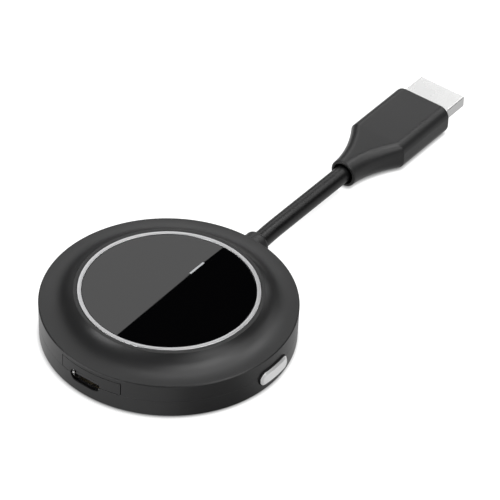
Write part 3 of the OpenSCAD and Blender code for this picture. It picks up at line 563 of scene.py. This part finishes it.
# Plug's grip. Moulded in matt black plastic: a flat block that narrows in a curved
# waist to a round neck, where the cable enters a deep hole.
PLUG_ACROSS, CORD_END, PLUG_UP = cord_route[-1]
GRIP_WIDTH = 17.0
GRIP_THICK = 8.1
GRIP_CORNER = 2.9
NECK_RADIUS = 3.75
NECK_BORE = 3.0
NECK_DEPTH = 4
NECK_END = CORD_END - NECK_DEPTH
NECK_EDGE = 0.4
WAIST_LENGTH = 15.2
WAIST_CURVE = 1.95
WAIST_STEPS = 28
BLOCK_LENGTH = 20.4
GRIP_FRONT = NECK_END + WAIST_LENGTH + BLOCK_LENGTH
FRONT_EDGE = 0.8
NEARLY_ROUND = 0.985
grip_plastic = surface("matt grip plastic", (0.021, 0.021, 0.0213), 0.35, grain=0.12,
                       depth=0.004, gloss_level=0.29)


def plug_section(x, z, corner):
    """Corners of a block round the plug's axis, from its half sizes and its rounding."""
    rounding = min(corner, NEARLY_ROUND * x, NEARLY_ROUND * z)
    return [(PLUG_ACROSS + sx * x, PLUG_UP + sz * z, rounding)
            for sx, sz in ((-1, -1), (1, -1), (1, 1), (-1, 1))]


def grip_section(share, inset=0.0):
    """Corners of the grip's section, from 0 at the neck to 1 at the shoulder."""
    return plug_section(
        NECK_RADIUS + (GRIP_WIDTH / 2 - NECK_RADIUS) * share ** WAIST_CURVE - inset,
        NECK_RADIUS + (GRIP_THICK / 2 - NECK_RADIUS) * share - inset,
        NECK_RADIUS - (NECK_RADIUS - GRIP_CORNER) * share - inset)


bore = plug_section(NECK_BORE, NECK_BORE, NECK_BORE)
quarter = [math.radians(22.5 * k) for k in range(5)]
grip_stations = [(CORD_END, bore), (NECK_END, bore)]
grip_stations += [(NECK_END + NECK_EDGE * (1 - math.cos(a)),
                   grip_section(0, NECK_EDGE * (1 - math.sin(a)))) for a in quarter]
grip_stations += [(NECK_END + NECK_EDGE + (WAIST_LENGTH - NECK_EDGE) * k / WAIST_STEPS,
                   grip_section(k / WAIST_STEPS)) for k in range(1, WAIST_STEPS + 1)]
grip_stations += [(GRIP_FRONT - FRONT_EDGE * (1 - math.sin(a)),
                   grip_section(1, FRONT_EDGE * (1 - math.cos(a)))) for a in quarter]
grip = blank(lofted(grip_stations, segments=12))

MOUTH_WIDTH = 13.9
MOUTH_HEIGHT = 4.45
MOUTH_BEND = -0.775
MOUTH_FOOT = 5.5
MOUTH_SEAT = 6
MOUTH_GAP = 0.04
MOUTH_EDGE = 0.1
MOUTH_CORNER = 0.35
LEAST_CORNER = 0.15


def mouth_section(inset):
    """Corners of the plug's mouth: flat top, upright sides and sloping lower corners."""
    top, side = MOUTH_HEIGHT / 2 - inset, MOUTH_WIDTH / 2 - inset
    bend, foot = MOUTH_BEND + 0.3 * inset, MOUTH_FOOT - 0.4 * inset
    corner = max(MOUTH_CORNER - inset, LEAST_CORNER)
    return [(PLUG_ACROSS + x, PLUG_UP + z, corner)
            for x, z in ((-foot, -top), (foot, -top), (side, bend), (side, top),
                         (-side, top), (-side, bend))]


mouth_knife = blank(lofted([(GRIP_FRONT - MOUTH_SEAT, mouth_section(-MOUTH_GAP)),
                            (GRIP_FRONT + OVERRUN, mouth_section(-MOUTH_GAP))], segments=6))
fitted(cut(grip, mouth_knife), "plug_grip", grip_plastic, "grip", "plug_housing", crease=22.0)


# Plug's mouth. One sheet of nickel plated steel, bent to the outline of a type A
# plug, seated in the front of the grip round the black insulator and its contacts.
MOUTH_LENGTH = 8.7
PLUG_TIP = GRIP_FRONT + MOUTH_LENGTH
PLUG_SHEET = 0.35
MOUTH_DEPTH = 12
plated_steel = surface("nickel plated steel", (0.63, 0.63, 0.627), 0.25, 1.0, grain=0.4,
                       depth=0.0015)
mouth = blank(lofted([
    (PLUG_TIP - MOUTH_DEPTH, mouth_section(PLUG_SHEET)),
    (PLUG_TIP - MOUTH_EDGE, mouth_section(PLUG_SHEET)),
    (PLUG_TIP, mouth_section(PLUG_SHEET - MOUTH_EDGE)), (PLUG_TIP, mouth_section(MOUTH_EDGE)),
    (PLUG_TIP - MOUTH_EDGE, mouth_section(0)),
    (GRIP_FRONT - MOUTH_SEAT + 0.1, mouth_section(0))], segments=6))
fitted(mouth, "plug_mouth", plated_steel, "plug_metal", "plug_shell")


# Studio. A white table top that runs out of sight, lit by soft boxes from above.
# The eye sees it glow pure white, but for a painted soft shade where the adapter lies on it.
# Mirrors see a painted glow on it instead: grey, brightest to the left of the puck, with a
# painted dark spot by its front right.
# Reaches of the painted contact shade, under the puck and under the lead.
CONTACT_REACH = 0.0011
LEAD_MIDDLE = 0.0535
LEAD_HALF = 0.0175
LEAD_ENDS = (0.036, 0.075)
LEAD_REACHES = (0.0032, 0.0020)
# Place and size of the painted dark spot, and the stops of the painted glow that mirrors see on
# the table.
PAINTED_DARK_SPOT = (0.034, -0.018, 0)
PAINTED_DARK_RADII = (0.006, 0.02)
PAINTED_GLOW_SPAN = (-0.08, 0.0)
PAINTED_GLOW_STOPS = ((0.0, 0.05), (0.4, 0.3), (0.58, 0.85), (0.95, 0.45))


def maths(tree, operation, *values):
    """Output of a node that works out one number from plain values or other outputs."""
    node = tree.nodes.new("ShaderNodeMath")
    node.operation = operation
    for socket, value in zip(node.inputs, values):
        if isinstance(value, bpy.types.NodeSocket):
            tree.links.new(value, socket)
        else:
            socket.default_value = value
    return node.outputs[0]


def seen_in_mirrors(tree):
    """1 for what shiny and clear pieces show of their surroundings, else 0."""
    path = tree.nodes.new("ShaderNodeLightPath")
    return maths(tree, "MAXIMUM", path.outputs["Is Glossy Ray"],
                 path.outputs["Is Transmission Ray"])


def seen_directly(tree):
    """1 for what the eye sees without a mirror, else 0."""
    return tree.nodes.new("ShaderNodeLightPath").outputs["Is Camera Ray"]


def painted_mirror_glow(tree, spot):
    """Painted reflection of the table in mirrors at a spot: a glow in stops of grey from left to
    right.
    """
    parts = tree.nodes.new("ShaderNodeSeparateXYZ")
    tree.links.new(spot, parts.inputs["Vector"])
    ramp = tree.nodes.new("ShaderNodeValToRGB")
    tree.links.new(ranged(tree, parts.outputs["X"], PAINTED_GLOW_SPAN, (0, 1)), ramp.inputs["Fac"])
    stops = ramp.color_ramp.elements
    stops[1].position = PAINTED_GLOW_STOPS[-1][0]
    for position, _ in PAINTED_GLOW_STOPS[1:-1]:
        stops.new(position)
    for stop, (_, grey) in zip(stops, PAINTED_GLOW_STOPS):
        stop.color = (grey, grey, grey, 1)
    return ramp.outputs["Color"]


def off_painted_dark_spot(tree, spot):
    """0 on the painted dark spot in the table's glow for mirrors, by the puck's front right, 1
    well away from it.
    """
    away = tree.nodes.new("ShaderNodeVectorMath")
    away.operation = "DISTANCE"
    away.inputs[1].default_value = PAINTED_DARK_SPOT
    tree.links.new(spot, away.inputs[0])
    return ranged(tree, away.outputs["Value"], PAINTED_DARK_RADII, (0, 1), "SMOOTHSTEP")


def painted_contact_shade(tree, spot):
    """Painted contact shade: 1 on open table and less close to the adapter, with a longer reach
    under the lead.
    """
    parts = tree.nodes.new("ShaderNodeSeparateXYZ")
    tree.links.new(spot, parts.inputs["Vector"])
    along = parts.outputs["Y"]
    reach = tree.nodes.new("ShaderNodeMix")
    reach.inputs["A"].default_value = CONTACT_REACH
    tree.links.new(ranged(tree, along, LEAD_ENDS, LEAD_REACHES), reach.inputs["B"])
    tree.links.new(maths(tree, "COMPARE", along, LEAD_MIDDLE, LEAD_HALF),
                   reach.inputs["Factor"])
    contact = tree.nodes.new("ShaderNodeAmbientOcclusion")
    contact.samples = 8
    tree.links.new(reach.outputs["Result"], contact.inputs["Distance"])
    return contact.outputs["AO"]


table = bpy.data.materials.new("white table")
table.use_nodes = True
tree = table.node_tree
shader = tree.nodes["Principled BSDF"]
shader.inputs["Base Color"].default_value = (0.25, 0.25, 0.25, 1)
shader.inputs["Roughness"].default_value = 0.9
shader.inputs["Specular IOR Level"].default_value = 0.0
shader.inputs["Emission Color"].default_value = (1, 1, 1, 1)
spot = tree.nodes.new("ShaderNodeNewGeometry").outputs["Position"]
# Painted contact shadow: the white glow that the eye sees dims close to the adapter.
to_eye = maths(tree, "MULTIPLY", seen_directly(tree), painted_contact_shade(tree, spot))
# Painted reflection: the table glows only for mirrors, lighter to the left, with a painted dark
# spot by the puck's front right.
grey = maths(tree, "MULTIPLY", off_painted_dark_spot(tree, spot), painted_mirror_glow(tree, spot))
to_mirrors = maths(tree, "MULTIPLY", seen_in_mirrors(tree), grey)
tree.links.new(maths(tree, "MAXIMUM", to_eye, to_mirrors), shader.inputs["Emission Strength"])
floor_bm = bmesh.new()
bmesh.ops.create_circle(floor_bm, cap_ends=True, segments=64, radius=15.0)
floor_mesh = bpy.data.meshes.new("table_top")
floor_bm.to_mesh(floor_mesh)
floor_bm.free()
floor = bpy.data.objects.new("table_top", floor_mesh)
bpy.context.collection.objects.link(floor)
floor_mesh.materials.append(table)


def softbox(name, place, size, power, back=None, upright=(0, 0, 1)):
    """Soft box at a place in metres, with its back turned away from the puck."""
    light = bpy.data.lights.new(name, "AREA")
    light.shape = "RECTANGLE"
    light.size, light.size_y = size
    light.energy = power
    lamp = bpy.data.objects.new(name, light)
    z = Vector(back or place).normalized()
    x = Vector(upright).cross(z).normalized()
    lamp.matrix_world = (Matrix.Translation(place)
                         @ Matrix((x, z.cross(x), z)).transposed().to_4x4())
    bpy.context.collection.objects.link(lamp)


softbox("front", (-0.030, -0.893, 0.110), (0.315, 0.19), 6.0)
softbox("left", (-0.480, -0.695, 0.330), (0.42, 0.30), 2.8)
softbox("overhead", (0.180, 0.162, 0.867), (0.44, 0.42), 3.0)
softbox("right", (0.480, 0.277, 0.709), (0.44, 0.40), 1.5)
softbox("front right", (0.603, -0.153, 0.657), (0.42, 0.42), 0.7)
softbox("right low", (0.728, 0.0, 0.529), (0.46, 0.40), 1.5)
softbox("rear", (0.0, 0.554, 0.709), (0.29, 0.27), 1.23)
softbox("rear right", (0.225, 0.692, 0.529), (0.31, 0.27), 0.59)
# The straight edge of the first of these boxes is what splits the disc into
# grey and black. The other two stand in its plane.
facing = {"back": (-0.4656, 0.6056, 0.6454), "upright": (-0.3327, -0.7955, 0.5065)}
softbox("mirrored", (-0.5072, 0.4812, 0.4346), (0.33, 0.72), 1.17, **facing)
softbox("mirrored high", (-0.206, 0.300, 0.823), (0.20, 0.24), 0.86, **facing)
softbox("mirrored strip", (-0.265, 0.676, 0.426), (0.065, 0.24), 0.126, **facing)

# The backdrop is white to the eye and lights nothing. Mirrors see a dim horizon in
# it, which fades out overhead.
HORIZON_LIFT = 0.12
HORIZON_FADE = (0.1, 0.3)
world = bpy.data.worlds.new("studio")
bpy.context.scene.world = world
world.use_nodes = True
tree = world.node_tree
sky = tree.nodes["Background"]
sky.inputs["Color"].default_value = (1, 1, 1, 1)
direction = tree.nodes.new("ShaderNodeSeparateXYZ")
tree.links.new(tree.nodes.new("ShaderNodeTexCoord").outputs["Generated"],
               direction.inputs["Vector"])
fade = ranged(tree, direction.outputs["Z"], HORIZON_FADE, (HORIZON_LIFT, 0.0), "SMOOTHSTEP")
horizon = maths(tree, "MULTIPLY", seen_in_mirrors(tree), fade)
tree.links.new(maths(tree, "MAXIMUM", seen_directly(tree), horizon), sky.inputs["Strength"])


# Camera. A long lens looks down on the adapter from the front right, the puck
# near and the plug far away, with a slight roll.
AZIMUTH, ELEVATION, ROLL = (math.radians(a) for a in (36.1, 39.57, 2.125))
DISTANCE = 0.9845
FOCAL_PIXELS = 4000
PHOTO_SIDE = 500
PUCK_PIXEL = (168.38, 331.13)
SENSOR_WIDTH = 36
camera_data = bpy.data.cameras.new("camera")
camera_data.sensor_width = SENSOR_WIDTH
camera_data.lens = SENSOR_WIDTH * FOCAL_PIXELS / PHOTO_SIDE
camera_data.clip_start = 0.05
camera_data.clip_end = 60
camera = bpy.data.objects.new("camera", camera_data)
bpy.context.collection.objects.link(camera)
turn = (Matrix.Rotation(AZIMUTH, 4, "Z") @ Matrix.Rotation(math.pi / 2 - ELEVATION, 4, "X")
        @ Matrix.Rotation(ROLL, 4, "Z"))
metres_per_pixel = DISTANCE / FOCAL_PIXELS
place = turn @ Vector(((PHOTO_SIDE / 2 - PUCK_PIXEL[0]) * metres_per_pixel,
                       (PUCK_PIXEL[1] - PHOTO_SIDE / 2) * metres_per_pixel, DISTANCE))
camera.matrix_world = Matrix.Translation(place) @ turn
bpy.context.scene.camera = camera
bpy.context.scene.view_settings.view_transform = "Standard"
